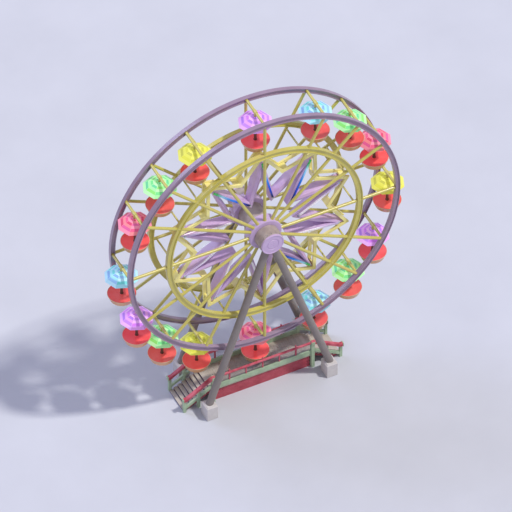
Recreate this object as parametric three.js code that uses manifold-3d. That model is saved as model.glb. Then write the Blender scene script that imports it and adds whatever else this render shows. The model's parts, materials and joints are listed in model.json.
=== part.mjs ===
// A fairground ferris wheel with sixteen round tubs under umbrella roofs.
// Millimetres, +Z up, +X along the boarding platform, origin on the ground below the hub.

import * as THREE from "three";
import { mergeVertices } from "three/addons/utils/BufferGeometryUtils.js";
import Module from "manifold-3d";

const wasm = await Module();
wasm.setup();

// Running and seating gap between neighbouring pieces
const GAP = 0.3;

// Wheel
const WHEEL_RADIUS = 9000;
const HUB_HEIGHT = 13320;
const SIDE_PLANE = 1270;
const RIM_WIDTH = 320;
const RIM_DEPTH = 280;
const RING_SEGMENTS = 48;
const QUARTER_TURNS = [0, Math.atan(0.5), Math.PI / 4, Math.atan(2)];
const SPOKE_RADIUS = 100;
const SPOKE_START = 900;
const INNER_RING_RADIUS = 6430;
const INNER_RING_WIDTH = 370;
const CROSSBAR_RADIUS = 92;
const CROSSBAR_TIP = 50;
const INNER_CROSSBAR_RADIUS = 60;
const INNER_CROSSBAR_PLACE = 6050;
const BAR_SIDES = 6;
const BAR_FLAT = Math.cos(Math.PI / BAR_SIDES);

// Hub and its bearings
const AXLE_RADIUS = 300;
const BARREL_RADIUS = 800;
const FLANGE_RADIUS = 1090;
const FLANGE_BACK = 720;
const FLANGE_EDGE = 1380;
const FLANGE_FACE = 1430;
const FLANGE_FACE_RADIUS = 1030;
const HOUSING_RADIUS = 790;
const HOUSING_START = 1445;
const HOUSING_END = 2280;
const CAP_RADIUS = 745;
const CAP_THICKNESS = 120;
const HUB_SEGMENTS = 24;

// Star of flat bars and the zigzag ring of rays that stands in its corners
const STAR_POINTS = 10;
const STAR_OUTER = 6220;
const STAR_INNER = 4600;
const STAR_CENTRE = -550;
const STAR_BAR = 200;
const STAR_THICKNESS = 130;
const STAR_PLANE = 315;
const STAR_FACE = STAR_PLANE + STAR_THICKNESS / 2 + GAP;
const CORNER_PLATE = 100;
const CORNER_PLATE_SETBACK = 5;
const CORNER_PLATE_REACH = 400;
const RAY_INNER = 2100;
const RAY_THICKNESS = 350;
const RAY_OUTER_CORNER = { depth: 750, flat: 300, ridge: 390 };
const RAY_MIDDLE = { flat: 330, ridge: 420 };
const RAY_INNER_CORNER = { depth: 600, flat: 270, ridge: 350 };

// Legs and footings
const LEG_RADIUS = 240;
const LEG_PLANE = 1980;
const LEG_SPREAD = 4120;
const LEG_SIDES = 12;
const FOOTING_LENGTH = 740;
const FOOTING_WIDTH = 850;
const FOOTING_HEIGHT = 1070;
const FOOTING_BEVEL = 60;

// Boarding platform
const DECK_HALF_LENGTH = 3310;
const DECK_HALF_WIDTH = 1060;
const DECK_HEIGHT = 1100;
const DECK_THICKNESS = 120;
const SKIRT_HALF_WIDTH = 950;
const SKIRT_THICKNESS = 90;
const POST_SIZE = 220;
const POST_INNER = 930;
const CURB_THICKNESS = 100;
const CURB_TOP = 1450;
const RAIL_SIZE = 130;
const RAIL_BOTTOM = 2010;
const RAIL_INNER = 965;
const BALUSTER_SIZE = 90;
const BALUSTER_PITCH = 1140;
const BALUSTER_TALL_TOP = 2230;

// Stairs
const STEP_COUNT = 8;
const STEP_RUN = 270;
const TREAD_DEPTH = 230;
const TREAD_THICKNESS = 45;
const TREAD_SEAT = 5;
const TREAD_BEARING = 75;
const STAIR_HALF_WIDTH = 925;
const STRINGER_THICKNESS = 60;
const STRINGER_DEPTH = 230;
const STRINGER_OUTER = 860;
const STAIR_POST = 180;
const STAIR_POST_INNER = 935;
const STAIR_RAIL_LOW = 960;
const STAIR_RAIL = 230;
const STAIR_RAIL_TIP = 40;
const MID_RAIL_DEPTH = 230;
const MID_RAIL_WIDTH = 130;
const MID_RAIL_DROP = 480;

// Gondolas, measured down from the crossbar that each hangs on
const GONDOLA_SIDES = 12;
const SLEEVE_BORE = (CROSSBAR_RADIUS + 0.5) / Math.cos(Math.PI / GONDOLA_SIDES);
const SLEEVE_RADIUS = 122;
const SLEEVE_HALF = 150;
const POLE_RADIUS = 90;
const POLE_TOP = -102;
const TUB_TOP = -2200;
const TUB_BOTTOM = -2630;
const TUB_TOP_RADIUS = 890;
const TUB_BOTTOM_RADIUS = 750;
const TUB_WALL = 40;
const TUB_DRAFT = 10;
const TUB_FLOOR = -2270;
const CANOPY_SIDES = 8;
const CANOPY_RADIUS = 1080;
const CANOPY_BRIM = -800;
const CANOPY_TOP = -310;
const CANOPY_WALL = 40;

function finish(color, roughness, metalness) {
  return new THREE.MeshStandardMaterial({ color, roughness, metalness, flatShading: true });
}

const FINISHES = {
  mauve: finish(0x9a87a8, 0.45, 0.1),
  yellow: finish(0xc8c070, 0.4, 0.1),
  paleYellow: finish(0xece596, 0.4, 0.1),
  lavender: finish(0xb9a3c4, 0.45, 0.1),
  bearing: finish(0xada09c, 0.5, 0.3),
  steel: finish(0x7a7472, 0.5, 0.4),
  concrete: finish(0xc7c2bd, 0.9, 0),
  deck: finish(0xa8a196, 0.8, 0),
  crimson: finish(0xb04a58, 0.6, 0),
  green: finish(0xa3bb9a, 0.5, 0),
  tread: finish(0xa49b90, 0.7, 0.1),
  tub: finish(0xd5434a, 0.4, 0),
};

const CANOPY_COLOURS = {
  violet: finish(0xe8a0f8, 0.35, 0),
  blue: finish(0x9fe0f5, 0.35, 0),
  green: finish(0xa0f5a0, 0.35, 0),
  pink: finish(0xf578a0, 0.35, 0),
  yellow: finish(0xe8e850, 0.35, 0),
};

// Clockwise from the top, as seen from the front
const CANOPY_ORDER = [
  "violet", "blue", "green", "pink", "yellow", "violet", "green", "blue",
  "pink", "yellow", "green", "violet", "blue", "pink", "green", "yellow",
];

function toSolid(geometry) {
  const bare = geometry.clone();
  bare.deleteAttribute("normal");
  bare.deleteAttribute("uv");
  const merged = mergeVertices(bare, 1e-3);
  const corners = merged.index.array;
  const faces = [];
  for (let i = 0; i < corners.length; i += 3) {
    const [a, b, c] = [corners[i], corners[i + 1], corners[i + 2]];
    if (a !== b && b !== c && c !== a) faces.push(a, b, c);
  }
  return new wasm.Manifold(new wasm.Mesh({
    numProp: 3,
    vertProperties: merged.attributes.position.array,
    triVerts: Uint32Array.from(faces),
  }));
}

function toGeometry(solid) {
  const mesh = solid.getMesh();
  const geometry = new THREE.BufferGeometry();
  geometry.setAttribute("position", new THREE.BufferAttribute(new Float32Array(mesh.vertProperties), 3));
  geometry.setIndex(new THREE.BufferAttribute(new Uint32Array(mesh.triVerts), 1));
  return geometry;
}

function join(geometries) {
  return geometries.map(toSolid).reduce((whole, piece) => whole.add(piece));
}

function piece(name, material, solid) {
  const mesh = new THREE.Mesh(toGeometry(solid), material);
  mesh.name = name;
  return mesh;
}

function block(xs, ys, zs) {
  const size = [xs, ys, zs].map(([low, high]) => high - low);
  const middle = [xs, ys, zs].map(([low, high]) => (high + low) / 2);
  return new THREE.BoxGeometry(...size).translate(...middle);
}

// A ring or disc about the wheel's axis: the outline runs counter-clockwise as [radius, y]
function turning(outline, segments) {
  const closed = outline[0][0] > 0 ? [...outline, outline[0]] : outline;
  return new THREE.LatheGeometry(closed.map(([r, y]) => new THREE.Vector2(r, y)), segments);
}

// The same about an upright axis: the outline is [radius, z]
function uprightTurning(outline, segments) {
  return turning(outline, segments).rotateX(Math.PI / 2);
}

// A bar along Y with one flat turned to the wheel's centre
function crossbar(place, angle, radius, from, to) {
  return new THREE.CylinderGeometry(radius, radius, to - from, BAR_SIDES)
    .translate(place, (from + to) / 2, 0)
    .rotateY(-angle);
}

function spoke(angle, radius, from, to, plane) {
  return new THREE.CylinderGeometry(radius, radius, to - from, BAR_SIDES)
    .rotateZ(-Math.PI / 2)
    .translate((from + to) / 2, plane, 0)
    .rotateY(-angle);
}

// A flat plate cut to an outline in the XZ plane, between two Y values
function plate(points, from, to) {
  const outline = new THREE.Shape(points.map(([x, z]) => new THREE.Vector2(x, z)));
  return new THREE.ExtrudeGeometry(outline, { depth: to - from, bevelEnabled: false })
    .rotateX(Math.PI / 2)
    .translate(0, to, 0);
}

const spokeAngles = [0, 1, 2, 3].flatMap(
  (quarter) => QUARTER_TURNS.map((turn) => (quarter * Math.PI) / 2 + turn),
);

function ring(radius, width, plane) {
  const [inner, outer] = [radius - width / 2, radius + width / 2];
  const [near, far] = [plane - RIM_DEPTH / 2, plane + RIM_DEPTH / 2];
  return turning([[inner, near], [outer, near], [outer, far], [inner, far]], RING_SEGMENTS);
}

function hubOutline(grow) {
  const half = [
    [BARREL_RADIUS + grow, FLANGE_BACK - grow],
    [FLANGE_RADIUS + grow, FLANGE_BACK - grow],
    [FLANGE_RADIUS + grow, FLANGE_EDGE],
    [FLANGE_FACE_RADIUS + grow, FLANGE_FACE + grow],
  ];
  return [...half.map(([r, y]) => [r, -y]).reverse(), ...half];
}

function makeHub() {
  const bore = (AXLE_RADIUS + GAP) / Math.cos(Math.PI / HUB_SEGMENTS);
  const outline = [[bore, FLANGE_FACE], [bore, -FLANGE_FACE], ...hubOutline(0)];
  return piece("hub", FINISHES.lavender, toSolid(turning(outline, HUB_SEGMENTS)));
}

function grownHub() {
  const end = FLANGE_FACE + GAP;
  return toSolid(turning([[0, -end], ...hubOutline(GAP), [0, end]], HUB_SEGMENTS));
}

const TIP = SIDE_PLANE + RIM_DEPTH / 2 + CROSSBAR_TIP;
const REAR_SPOKE_END = WHEEL_RADIUS - CROSSBAR_RADIUS * BAR_FLAT - GAP;
const REAR_SPOKE_FACE = SIDE_PLANE - SPOKE_RADIUS * BAR_FLAT - GAP;

// The upright spokes, whose inner crossbars stop on either side of a point of the star
const starAngles = [Math.PI / 2, (3 * Math.PI) / 2];

function makeFrontFrame() {
  const reach = (angle) => (starAngles.includes(angle) ? STAR_CENTRE - STAR_FACE : REAR_SPOKE_FACE);
  const bars = spokeAngles.flatMap((angle) => [
    spoke(angle, SPOKE_RADIUS, SPOKE_START, WHEEL_RADIUS, -SIDE_PLANE),
    crossbar(WHEEL_RADIUS, angle, CROSSBAR_RADIUS, -TIP, TIP),
    crossbar(INNER_CROSSBAR_PLACE, angle, INNER_CROSSBAR_RADIUS, -SIDE_PLANE, reach(angle)),
  ]);
  const frame = join([ring(INNER_RING_RADIUS, INNER_RING_WIDTH, -SIDE_PLANE), ...bars]);
  return piece("side_frame_front", FINISHES.yellow, frame.subtract(grownHub()));
}

function makeRearFrame() {
  const spokes = spokeAngles.map(
    (angle) => spoke(angle, SPOKE_RADIUS, SPOKE_START, REAR_SPOKE_END, SIDE_PLANE),
  );
  const from = STAR_CENTRE + STAR_FACE;
  const stubs = starAngles.map(
    (angle) => crossbar(INNER_CROSSBAR_PLACE, angle, INNER_CROSSBAR_RADIUS, from, SIDE_PLANE),
  );
  const frame = join([ring(INNER_RING_RADIUS, INNER_RING_WIDTH, SIDE_PLANE), ...spokes, ...stubs]);
  return piece("side_frame_rear", FINISHES.yellow, frame.subtract(grownHub()));
}

function makeRim(name, plane) {
  const grow = GAP / BAR_FLAT;
  const [near, far] = [plane - RIM_DEPTH, plane + RIM_DEPTH];
  const sockets = join(spokeAngles.flatMap((angle) => [
    spoke(angle, SPOKE_RADIUS + grow, WHEEL_RADIUS - RIM_WIDTH, WHEEL_RADIUS + GAP, plane),
    crossbar(WHEEL_RADIUS, angle, CROSSBAR_RADIUS + grow, near, far),
  ]));
  return piece(name, FINISHES.mauve, toSolid(ring(WHEEL_RADIUS, RIM_WIDTH, plane)).subtract(sockets));
}

function starVertex(index, inset) {
  const chord = Math.PI / STAR_POINTS;
  const [outerSide, innerSide] = [STAR_OUTER, STAR_INNER];
  const edge = Math.hypot(outerSide - innerSide * Math.cos(chord), innerSide * Math.sin(chord));
  const outerSine = (innerSide * Math.sin(chord)) / edge;
  const innerSine = (outerSide * Math.sin(chord)) / edge;
  const radius = index % 2 === 0 ? outerSide - inset / outerSine : innerSide - inset / innerSine;
  const angle = Math.PI / 2 + index * chord;
  return [radius * Math.cos(angle), radius * Math.sin(angle)];
}

function starOutline(inset) {
  return Array.from({ length: 2 * STAR_POINTS }, (_, index) => starVertex(index, inset));
}

function starPlate(plane) {
  const outline = new THREE.Shape(starOutline(0).map(([x, z]) => new THREE.Vector2(x, z)));
  outline.holes.push(new THREE.Path(starOutline(STAR_BAR).map(([x, z]) => new THREE.Vector2(x, z))));
  return new THREE.ExtrudeGeometry(outline, { depth: STAR_THICKNESS, bevelEnabled: false })
    .rotateX(Math.PI / 2)
    .translate(0, plane + STAR_THICKNESS / 2, 0);
}

// A bent plate between the star's two layers, wrapped round the inside of one corner
function cornerPlate(index) {
  const corner = (at, inset) => new THREE.Vector2(...starVertex(at, inset));
  const inset = STAR_BAR - CORNER_PLATE_SETBACK;
  const [near, far] = [corner(index, inset - CORNER_PLATE), corner(index, inset)];
  const ends = [1, -1].map((step) => {
    const along = corner(index + step, 0).sub(corner(index, 0)).normalize();
    const inward = new THREE.Vector2(-step * along.y, step * along.x);
    const nearEnd = near.clone().addScaledVector(along, CORNER_PLATE_REACH);
    return [nearEnd, nearEnd.clone().addScaledVector(inward, CORNER_PLATE)];
  });
  const outline = [ends[0][0], near, ends[1][0], ends[1][1], far, ends[0][1]];
  return plate(outline.map((point) => point.toArray()), -STAR_PLANE, STAR_PLANE);
}

function makeStar() {
  const corners = starOutline(0).map((_, index) => cornerPlate(index));
  const star = join([starPlate(-STAR_PLANE), starPlate(STAR_PLANE), ...corners]);
  return piece("star_frame", FINISHES.paleYellow, star.translate([0, STAR_CENTRE, 0]));
}

// Six points of a section through a ray, between its outside and its inside and with a ridge to each side
function raySection(outside, inside, { flat, ridge }) {
  const middle = outside.clone().lerp(inside, 0.5);
  const half = [[outside, -flat], [middle, -ridge], [inside, -flat]];
  const outline = [...half, ...half.map(([point, y]) => [point, -y]).reverse()];
  return outline.map(([point, y]) => [point.x, y, point.y]);
}

// The zigzag's sections in order round the wheel: a corner in the star, a ray's middle, a corner by the hub
function raySections() {
  const tip = Math.hypot(...starVertex(0, STAR_BAR)) - GAP;
  const at = (radius, index) => new THREE.Vector2(radius, 0)
    .rotateAround(new THREE.Vector2(), Math.PI / 2 + (index * Math.PI) / STAR_POINTS);
  const reach = (index) => (index % 2 === 0 ? tip : RAY_INNER);
  return Array.from({ length: 2 * STAR_POINTS }, (_, index) => {
    const corner = index % 2 === 0 ? RAY_OUTER_CORNER : RAY_INNER_CORNER;
    const outside = index % 2 === 0 ? tip : RAY_INNER + corner.depth;
    const inside = outside - corner.depth;
    const [from, to] = [at(reach(index), index), at(reach(index + 1), index + 1)];
    const middle = from.clone().lerp(to, 0.5);
    const across = to.sub(from).normalize().rotateAround(new THREE.Vector2(), -Math.PI / 2);
    const side = (way) => middle.clone().addScaledVector(across, (way * RAY_THICKNESS) / 2);
    return [
      raySection(at(outside, index), at(inside, index), corner),
      raySection(side(1), side(-1), RAY_MIDDLE),
    ];
  }).flat();
}

function makeRays() {
  const sections = raySections();
  const count = sections[0].length;
  const faces = sections.flatMap((_, index) => {
    const [here, next] = [index * count, ((index + 1) % sections.length) * count];
    return Array.from({ length: count }, (__, k) => {
      const after = (k + 1) % count;
      const [a, b, c, d] = [here + k, here + after, next + after, next + k];
      return index % 2 === 0 ? [a, c, b, a, d, c] : [a, d, b, b, d, c];
    }).flat();
  });
  const ring = new THREE.BufferGeometry();
  ring.setAttribute("position", new THREE.Float32BufferAttribute(sections.flat(2), 3));
  ring.setIndex(faces);
  return piece("ray_cluster", FINISHES.lavender, toSolid(ring).translate([0, STAR_CENTRE, 0]));
}

function makeCar(name, turn) {
  const tub = uprightTurning([
    [0, TUB_BOTTOM],
    [TUB_BOTTOM_RADIUS, TUB_BOTTOM],
    [TUB_TOP_RADIUS, TUB_TOP],
    [TUB_TOP_RADIUS - TUB_WALL, TUB_TOP],
    [TUB_TOP_RADIUS - TUB_WALL - TUB_DRAFT, TUB_FLOOR],
    [POLE_RADIUS, TUB_FLOOR],
    [POLE_RADIUS, POLE_TOP],
    [0, POLE_TOP],
  ], GONDOLA_SIDES);
  const sleeve = turning([
    [SLEEVE_BORE, -SLEEVE_HALF],
    [SLEEVE_RADIUS, -SLEEVE_HALF],
    [SLEEVE_RADIUS, SLEEVE_HALF],
    [SLEEVE_BORE, SLEEVE_HALF],
  ], GONDOLA_SIDES).rotateY(turn + Math.PI / GONDOLA_SIDES);
  return piece(name, FINISHES.tub, join([tub, sleeve]));
}

function makeCanopy(name, colour) {
  const poleReach = POLE_RADIUS * Math.cos(Math.PI / CANOPY_SIDES - Math.PI / GONDOLA_SIDES);
  const hole = (poleReach + GAP) / Math.cos(Math.PI / CANOPY_SIDES);
  const rise = CANOPY_TOP - CANOPY_BRIM;
  const outer = [[1, 0], [0.72, 0.5], [0.4, 0.84]].map(
    ([r, z]) => [r * CANOPY_RADIUS, CANOPY_BRIM + z * rise],
  );
  const inner = outer.map(([r, z]) => [r - CANOPY_WALL, z - CANOPY_WALL * 0.6]).reverse();
  const outline = [
    [outer[0][0], CANOPY_BRIM - CANOPY_WALL],
    ...outer,
    [hole, CANOPY_TOP],
    [hole, CANOPY_TOP - CANOPY_WALL],
    ...inner.slice(0, 2),
    [inner[2][0], CANOPY_BRIM - CANOPY_WALL],
  ];
  return piece(name, CANOPY_COLOURS[colour], toSolid(uprightTurning(outline, CANOPY_SIDES)));
}

function makeGondola(index) {
  const quarter = Math.floor(index / 4);
  const turn = QUARTER_TURNS[index % 4] + (quarter * Math.PI) / 2;
  const gondola = new THREE.Group();
  const name = `gondola_${String(index + 1).padStart(2, "0")}`;
  gondola.add(makeCar(`${name}_car`, turn), makeCanopy(`${name}_canopy`, CANOPY_ORDER[index]));
  gondola.position.set(WHEEL_RADIUS * Math.sin(turn), 0, WHEEL_RADIUS * Math.cos(turn));
  return gondola;
}

function makeHousing(name, side) {
  const outline = [
    [0, HOUSING_START],
    [HOUSING_RADIUS, HOUSING_START],
    [HOUSING_RADIUS, HOUSING_END],
    [0, HOUSING_END],
  ];
  const drum = toSolid(turning(outline, HUB_SEGMENTS).rotateX(side < 0 ? Math.PI : 0));
  return piece(name, FINISHES.bearing, drum);
}

function makeCap(name, side) {
  const [near, far] = [HOUSING_END + GAP, HOUSING_END + CAP_THICKNESS];
  const outline = [[0, near], [CAP_RADIUS, near], [CAP_RADIUS, far], [0, far]];
  const cap = toSolid(turning(outline, HUB_SEGMENTS).rotateX(side < 0 ? Math.PI : 0));
  return piece(name, FINISHES.lavender, cap);
}

function makeAxle() {
  const length = 2 * (HOUSING_START - GAP);
  const axle = new THREE.CylinderGeometry(AXLE_RADIUS, AXLE_RADIUS, length, HUB_SEGMENTS)
    .rotateY(Math.PI / HUB_SEGMENTS);
  return piece("axle", FINISHES.steel, toSolid(axle));
}

// A round leg leaning in the XZ plane, cut level at the footing and round at the bearing housing
function makeLeg(name, sideX, sideY) {
  const height = HUB_HEIGHT - FOOTING_HEIGHT - GAP;
  const lean = LEG_SPREAD / (HUB_HEIGHT - FOOTING_HEIGHT);
  const stretch = Math.hypot(1, lean);
  const tube = new THREE.CylinderGeometry(LEG_RADIUS, LEG_RADIUS, height, LEG_SIDES)
    .rotateX(Math.PI / 2)
    .scale(stretch, 1, 1)
    .translate(0, 0, -height / 2);
  const shear = new THREE.Matrix4().makeShear(0, 0, 0, 0, 0, 0);
  shear.elements[8] = -lean * sideX;
  tube.applyMatrix4(shear).translate(0, sideY * LEG_PLANE, HUB_HEIGHT);
  const reach = HOUSING_RADIUS + GAP;
  const drum = turning(
    [[0, -HOUSING_END], [reach, -HOUSING_END], [reach, HOUSING_END], [0, HOUSING_END]], HUB_SEGMENTS,
  ).translate(0, 0, HUB_HEIGHT);
  return piece(name, FINISHES.steel, toSolid(tube).subtract(toSolid(drum)));
}

function makeFooting(name, sideX, sideY) {
  const [halfLength, halfWidth] = [FOOTING_LENGTH / 2, FOOTING_WIDTH / 2];
  const body = block([-halfLength, halfLength], [-halfWidth, halfWidth], [0, FOOTING_HEIGHT]);
  const position = body.attributes.position;
  for (let i = 0; i < position.count; i += 1) {
    if (position.getZ(i) > 0) {
      position.setX(i, position.getX(i) * (1 - FOOTING_BEVEL / halfLength));
      position.setY(i, position.getY(i) * (1 - FOOTING_BEVEL / halfWidth));
    }
  }
  const base = block([-halfLength, halfLength], [-halfWidth, halfWidth], [0, FOOTING_HEIGHT - FOOTING_BEVEL]);
  const mesh = piece(name, FINISHES.concrete, join([base, body]));
  mesh.position.set(sideX * LEG_SPREAD, sideY * LEG_PLANE, 0);
  return mesh;
}

const DECK_UNDERSIDE = DECK_HEIGHT - DECK_THICKNESS;

function makeDeck() {
  const deck = block([-DECK_HALF_LENGTH, DECK_HALF_LENGTH], [-DECK_HALF_WIDTH, DECK_HALF_WIDTH],
    [DECK_UNDERSIDE, DECK_HEIGHT]);
  return piece("platform_deck", FINISHES.deck, toSolid(deck));
}

function makeSkirt() {
  const top = DECK_UNDERSIDE - GAP;
  const walls = block([-DECK_HALF_LENGTH, DECK_HALF_LENGTH], [-SKIRT_HALF_WIDTH, SKIRT_HALF_WIDTH], [0, top]);
  const [x, y] = [DECK_HALF_LENGTH - SKIRT_THICKNESS, SKIRT_HALF_WIDTH - SKIRT_THICKNESS];
  const hollow = block([-x, x], [-y, y], [-1, top + 1]);
  return piece("platform_skirt", FINISHES.crimson, toSolid(walls).subtract(toSolid(hollow)));
}

// Places along the stairs, measured out from the platform's middle
const POST_START = DECK_HALF_LENGTH + GAP;
const POST_END = POST_START + POST_SIZE;
const STAIR_FOOT = DECK_HALF_LENGTH + STEP_COUNT * STEP_RUN;
const STAIR_POST_START = STAIR_FOOT - STAIR_POST;
const RAIL_SLOPE = (RAIL_BOTTOM - STAIR_RAIL_LOW) / (STAIR_POST_START - POST_END);

function railUnderside(x) {
  return RAIL_BOTTOM - RAIL_SLOPE * (x - POST_END);
}

// Green timbers of one long side: curb, corner posts and the stairs' posts and middle rails
function makeTimbers(name, side) {
  const ys = ([from, to]) => (side > 0 ? [from, to] : [-to, -from]);
  const postYs = ys([POST_INNER, POST_INNER + POST_SIZE]);
  const stairYs = ys([STAIR_POST_INNER, STAIR_POST_INNER + STAIR_POST]);
  const railYs = ys([RAIL_INNER + 5, RAIL_INNER + 5 + MID_RAIL_WIDTH]);
  const curbYs = ys([DECK_HALF_WIDTH - CURB_THICKNESS, DECK_HALF_WIDTH]);
  const parts = [
    block([-POST_START - POST_SIZE / 2, POST_START + POST_SIZE / 2], curbYs, [DECK_HEIGHT + GAP, CURB_TOP]),
  ];
  const middle = (POST_END + STAIR_POST_START) / 2;
  for (const end of [-1, 1]) {
    const xs = ([from, to]) => (end > 0 ? [from, to] : [-to, -from]);
    const outline = (points) => (end > 0 ? points : points.map(([x, z]) => [-x, z]).reverse());
    parts.push(block(xs([POST_START, POST_END]), postYs, [0, RAIL_BOTTOM - GAP]));
    parts.push(block(xs([STAIR_POST_START, STAIR_FOOT]), stairYs, [0, STAIR_RAIL_LOW - GAP]));
    const [near, far] = [middle - STAIR_POST / 2, middle + STAIR_POST / 2];
    parts.push(plate(outline([
      [near, 0], [far, 0], [far, railUnderside(far) - 2 * GAP], [near, railUnderside(near) - 2 * GAP],
    ]), ...stairYs));
    const [start, stop] = [POST_END - 50, STAIR_POST_START + 50];
    const height = (x) => railUnderside(x) - MID_RAIL_DROP;
    parts.push(plate(outline([
      [start, height(start) - MID_RAIL_DEPTH], [stop, height(stop) - MID_RAIL_DEPTH],
      [stop, height(stop)], [start, height(start)],
    ]), ...railYs));
  }
  return piece(name, FINISHES.green, join(parts));
}

// Red handrail of one long side with its balusters, and the thicker rails down both stairs
function makeHandrail(name, side) {
  const across = (width) => [RAIL_INNER * side, (RAIL_INNER + width) * side].sort((a, b) => a - b);
  const parts = [block([-POST_END, POST_END], across(RAIL_SIZE), [RAIL_BOTTOM, RAIL_BOTTOM + RAIL_SIZE])];
  const low = [
    [POST_START, RAIL_BOTTOM], [POST_END, RAIL_BOTTOM],
    [STAIR_POST_START, STAIR_RAIL_LOW], [STAIR_FOOT + STAIR_RAIL_TIP, STAIR_RAIL_LOW],
  ];
  const outline = [...low, ...low.map(([x, z]) => [x, z + STAIR_RAIL]).reverse()];
  for (const end of [-1, 1]) {
    const points = end > 0 ? outline : outline.map(([x, z]) => [-x, z]).reverse();
    parts.push(plate(points, ...across(STAIR_RAIL)));
  }
  for (let index = -2; index <= 2; index += 1) {
    const x = index * BALUSTER_PITCH;
    const top = index % 2 === 0 ? BALUSTER_TALL_TOP : RAIL_BOTTOM + RAIL_SIZE / 2;
    const xs = [x - BALUSTER_SIZE / 2, x + BALUSTER_SIZE / 2];
    parts.push(block(xs, across(BALUSTER_SIZE), [CURB_TOP + GAP, top]));
  }
  return piece(name, FINISHES.crimson, join(parts));
}

function makeStairs(name, end) {
  const rise = DECK_HEIGHT / STEP_COUNT;
  const start = DECK_HALF_LENGTH + GAP;
  const parts = [];
  for (let index = 0; index < STEP_COUNT; index += 1) {
    const front = start + index * STEP_RUN;
    const top = DECK_HEIGHT - index * rise;
    parts.push(block([front, front + TREAD_DEPTH], [-STAIR_HALF_WIDTH, STAIR_HALF_WIDTH],
      [top - TREAD_THICKNESS, top]));
  }
  const slope = rise / STEP_RUN;
  const foot = start + (STEP_COUNT - 1) * STEP_RUN + TREAD_DEPTH;
  const top = (x) => DECK_HEIGHT - TREAD_THICKNESS + TREAD_SEAT - slope * (x - start - TREAD_BEARING);
  const [upper, lower] = [start + TREAD_BEARING, foot - TREAD_DEPTH / 2];
  const toe = start + (top(start) - STRINGER_DEPTH) / slope;
  const outline = [
    [start, top(start) - STRINGER_DEPTH], [toe, 0], [lower, 0], [lower, top(lower)], [upper, top(upper)],
    [start, top(upper)],
  ];
  for (const y of [-STRINGER_OUTER, STRINGER_OUTER - STRINGER_THICKNESS]) {
    parts.push(plate(outline, y, y + STRINGER_THICKNESS));
  }
  return piece(name, FINISHES.tread, join(parts).rotate([0, 0, end > 0 ? 0 : 180]));
}

const wheel = new THREE.Group();
wheel.position.set(0, 0, HUB_HEIGHT);
wheel.add(
  makeHub(),
  makeRim("outer_rim_front", -SIDE_PLANE),
  makeRim("outer_rim_rear", SIDE_PLANE),
  makeFrontFrame(),
  makeRearFrame(),
  makeStar(),
  makeRays(),
);
for (let index = 0; index < CANOPY_ORDER.length; index += 1) wheel.add(makeGondola(index));

const bearings = new THREE.Group();
bearings.position.set(0, 0, HUB_HEIGHT);
bearings.add(
  makeAxle(),
  makeHousing("bearing_housing_front", -1),
  makeHousing("bearing_housing_rear", 1),
  makeCap("hub_cap_front", -1),
  makeCap("hub_cap_rear", 1),
);

const ferrisWheel = new THREE.Group();
ferrisWheel.add(wheel, bearings);
for (const [depth, sideY] of [["front", -1], ["rear", 1]]) {
  for (const [hand, sideX] of [["left", -1], ["right", 1]]) {
    ferrisWheel.add(makeLeg(`leg_${depth}_${hand}`, sideX, sideY));
    ferrisWheel.add(makeFooting(`footing_${depth}_${hand}`, sideX, sideY));
  }
  ferrisWheel.add(makeTimbers(`platform_timbers_${depth}`, sideY));
  ferrisWheel.add(makeHandrail(`handrail_${depth}`, sideY));
}
ferrisWheel.add(makeDeck(), makeSkirt(), makeStairs("stairs_left", -1), makeStairs("stairs_right", 1));

export default ferrisWheel;
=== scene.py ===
"""Fairground ferris wheel: its finishes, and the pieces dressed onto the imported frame. Metres, +Z up."""

import json
from math import atan2, cos, hypot, pi, radians, sin
from types import SimpleNamespace as Sizes

import bmesh
import bpy
from mathutils import Matrix, Vector

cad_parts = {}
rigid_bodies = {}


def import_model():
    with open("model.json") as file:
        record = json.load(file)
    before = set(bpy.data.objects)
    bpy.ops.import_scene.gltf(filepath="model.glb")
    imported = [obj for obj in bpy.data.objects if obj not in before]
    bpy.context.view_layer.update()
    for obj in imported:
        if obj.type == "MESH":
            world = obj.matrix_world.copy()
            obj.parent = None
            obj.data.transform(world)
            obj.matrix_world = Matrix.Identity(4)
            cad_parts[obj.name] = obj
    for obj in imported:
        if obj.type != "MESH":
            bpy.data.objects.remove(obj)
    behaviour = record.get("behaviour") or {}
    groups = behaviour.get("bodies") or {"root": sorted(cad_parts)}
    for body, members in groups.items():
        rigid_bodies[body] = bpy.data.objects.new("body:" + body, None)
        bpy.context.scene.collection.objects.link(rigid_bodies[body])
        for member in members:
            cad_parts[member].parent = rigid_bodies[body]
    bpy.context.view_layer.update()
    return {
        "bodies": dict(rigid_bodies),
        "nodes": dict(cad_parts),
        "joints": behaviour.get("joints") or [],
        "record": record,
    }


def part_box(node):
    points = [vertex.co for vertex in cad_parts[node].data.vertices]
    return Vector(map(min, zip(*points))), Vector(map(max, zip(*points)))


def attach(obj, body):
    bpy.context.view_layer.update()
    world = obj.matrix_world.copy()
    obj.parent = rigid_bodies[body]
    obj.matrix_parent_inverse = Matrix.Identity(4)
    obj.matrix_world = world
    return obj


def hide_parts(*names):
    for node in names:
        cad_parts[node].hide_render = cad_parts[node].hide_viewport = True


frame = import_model()

# Places read from the frame
JOINTS = {joint["name"]: joint for joint in frame["joints"]}
HUB = Vector(JOINTS["wheel_spin"]["pos_m"])
GONDOLAS = sorted(body for body in frame["bodies"] if body.startswith("gondola"))
PIVOTS = {name: Vector(JOINTS[f"{name}_swing"]["pos_m"]) for name in GONDOLAS}
WHEEL_RADIUS = (PIVOTS[GONDOLAS[0]] - HUB).length
SPOKE_ANGLES = [atan2((p - HUB).z, (p - HUB).x) for p in PIVOTS.values()]
SIDES = {"front": -1, "rear": 1}
ENDS = {"left": -1, "right": 1}
UP = Vector((0, 0, 1))
DEPTHWISE = Vector((0, 1, 0))

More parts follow.
